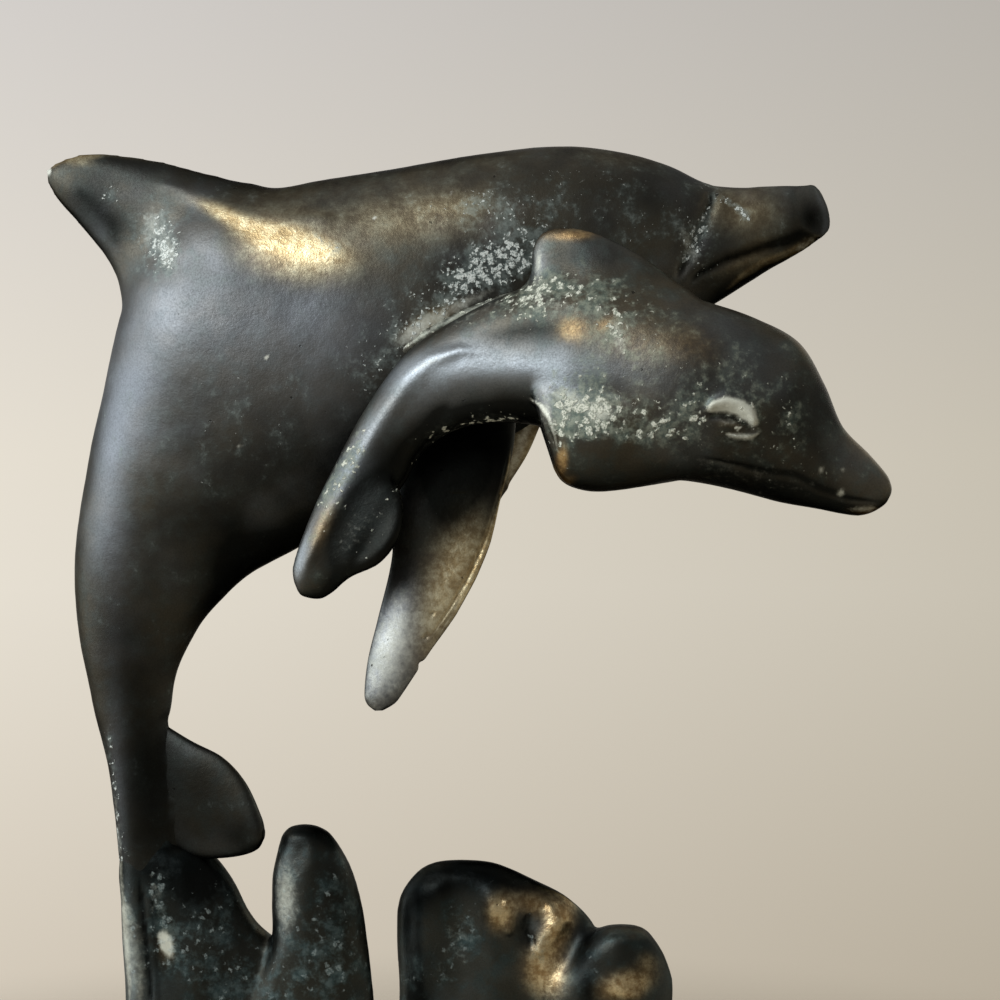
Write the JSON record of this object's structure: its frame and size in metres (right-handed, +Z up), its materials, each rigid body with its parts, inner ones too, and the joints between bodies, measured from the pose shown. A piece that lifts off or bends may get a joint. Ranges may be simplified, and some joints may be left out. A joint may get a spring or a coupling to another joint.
{
  "type": "animal figurine",
  "caption": "Cast brass ornament: a large dolphin leaping from tall wave crests on an oval rippled base, with a small dolphin brazed to its side.",
  "frame": {"origin": "centre of the flat underside of the base, on the surface that the ornament stands on", "axes": "+Z up; +X the way both dolphins leap; -Y the side on which the small dolphin swims"},
  "size_m": [0.1962, 0.0984, 0.2652],
  "materials": {
    "adult_brass": "dark grey-green patina, satin, rubbed to gold on the back",
    "calf_brass": "dark olive-brown patina with pale verdigris and rubbed spots",
    "fin_brass": "tan-bronze satin, cast pits",
    "wave_brass": "dark blue-green verdigris patina, crests rubbed to gold",
    "bare_brass": "plain machined brass, unseen"
  },
  "bodies": {
    "root": {"wave_base": "wave_brass", "wave_crest_tail": "wave_brass", "wave_crest_side": "wave_brass", "adult_tail_flukes": "adult_brass", "adult_body": "adult_brass", "adult_pectoral_fin_near": "fin_brass", "adult_pectoral_fin_far": "fin_brass", "calf_body": "calf_brass", "calf_tail_flukes": "calf_brass", "calf_pectoral_fin_near": "calf_brass", "calf_pectoral_fin_far": "calf_brass", "calf_dowel": "bare_brass", "calf_braze_bead": "calf_brass", "base_screw_1": "bare_brass", "base_screw_2": "bare_brass", "base_screw_3": "bare_brass", "base_screw_4": "bare_brass"}
  },
  "joints": []
}
